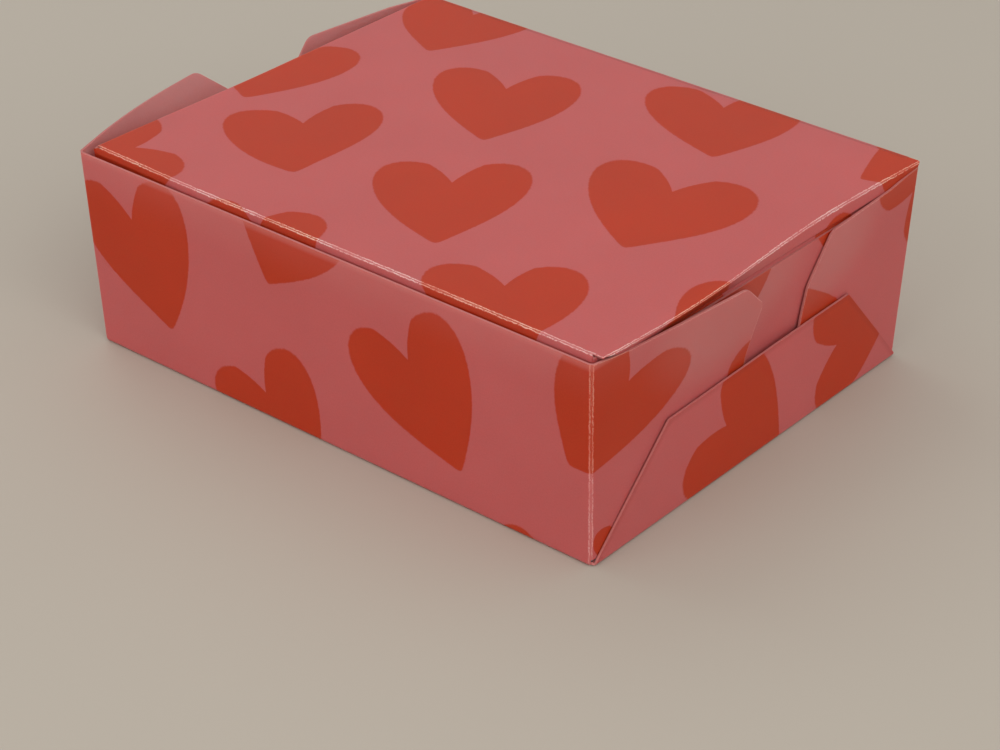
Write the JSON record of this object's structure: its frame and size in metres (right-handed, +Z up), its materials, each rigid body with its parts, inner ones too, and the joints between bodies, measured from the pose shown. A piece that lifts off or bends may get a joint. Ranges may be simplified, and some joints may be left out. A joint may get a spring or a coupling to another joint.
{
  "type": "origami box",
  "caption": "Small folded card box with a tuck-in lid hinged along its back fold, its ends closed by overlapping tabs.",
  "frame": {"origin": "centre of the underside of the box's bottom, on the surface it stands on", "axes": "+Z up; +X along the long side, towards the end nearest the picture's camera; +Y from the front wall to the lid's fold at the back"},
  "size_m": [0.1223, 0.0888, 0.0378],
  "materials": {
    "printed_card_tray": "satin printed card",
    "printed_card_lid": "satin printed card"
  },
  "bodies": {
    "tray": {"box_tray": "printed_card_tray"},
    "lid": {"hinged_lid": "printed_card_lid"}
  },
  "joints": [
    {"name": "lid_hinge", "type": "hinge", "parent": "tray", "child": "lid", "pos_m": [0, 0.0444, 0.0374], "axis": [-1, 0, 0], "range_deg": [0, 180]}
  ]
}
